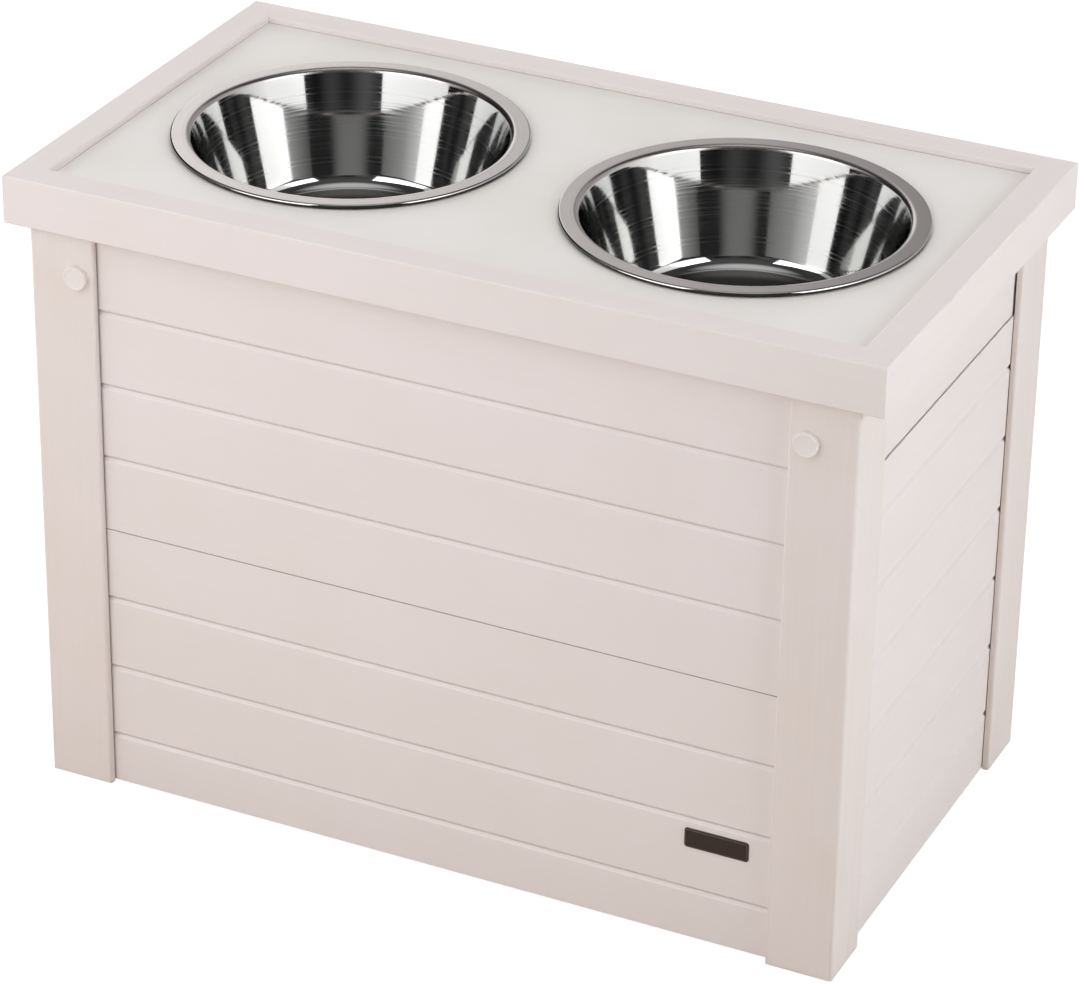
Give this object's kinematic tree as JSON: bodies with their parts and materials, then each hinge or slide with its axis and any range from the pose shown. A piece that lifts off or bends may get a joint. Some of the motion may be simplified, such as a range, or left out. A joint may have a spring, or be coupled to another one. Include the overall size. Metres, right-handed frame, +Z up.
{
  "type": "elevated dog feeder with storage",
  "caption": "Raised feeding box with slotted corner posts, grooved board walls, storage space inside, and a hinged framed lid that carries lift-out steel bowls.",
  "frame": {"origin": "on the floor, under the middle of the whole object's box", "axes": "+X along the front towards the end with the plate, +Y from the front to the hinges, +Z up"},
  "size_m": [0.6, 0.3379, 0.4369],
  "materials": {
    "composite_white": "off-white extruded wood-plastic composite, satin matte",
    "board_white": "off-white smooth sheet board, matte",
    "plug_white": "moulded plastic, matte",
    "polished_steel": "stainless steel, mirror polished inside with a satin rim",
    "hinge_steel": "zinc plated steel",
    "dark_bronze": "dark antiqued metal, satin"
  },
  "bodies": {
    "cabinet": {"front_left_post": "composite_white", "front_right_post": "composite_white", "rear_left_post": "composite_white", "rear_right_post": "composite_white", "front_upper_panel": "composite_white", "front_lower_panel": "composite_white", "rear_upper_panel": "composite_white", "rear_lower_panel": "composite_white", "left_side_rail": "composite_white", "right_side_rail": "composite_white", "left_side_panel": "composite_white", "right_side_panel": "composite_white", "floor_panel": "board_white", "front_floor_cleat": "board_white", "rear_floor_cleat": "board_white", "cleat_screws": "hinge_steel", "front_left_peg": "composite_white", "front_right_peg": "composite_white", "rear_left_peg": "composite_white", "rear_right_peg": "composite_white", "post_top_plugs": "plug_white", "post_foot_plugs": "plug_white", "badge_plate": "dark_bronze", "left_hinge_post_leaf": "hinge_steel", "right_hinge_post_leaf": "hinge_steel", "hinge_pins": "hinge_steel", "hinge_post_screws": "hinge_steel"},
    "lid": {"lid_front_rail": "composite_white", "lid_rear_rail": "composite_white", "lid_left_rail": "composite_white", "lid_right_rail": "composite_white", "lid_board": "board_white", "lid_corner_keys": "plug_white", "left_hinge_lid_leaf": "hinge_steel", "right_hinge_lid_leaf": "hinge_steel", "hinge_lid_screws": "hinge_steel"},
    "left_bowl": {"left_bowl": "polished_steel"},
    "right_bowl": {"right_bowl": "polished_steel"}
  },
  "joints": [
    {"name": "lid_hinge", "type": "hinge", "parent": "cabinet", "child": "lid", "pos_m": [0, 0.16645, 0.40365], "axis": [-1, 0, 0], "range_deg": [0, 100]},
    {"name": "left_bowl_lift", "type": "slide", "parent": "lid", "child": "left_bowl", "axis": [0, 0, 1], "range_m": [0, 0.1]},
    {"name": "right_bowl_lift", "type": "slide", "parent": "lid", "child": "right_bowl", "axis": [0, 0, 1], "range_m": [0, 0.1]}
  ]
}
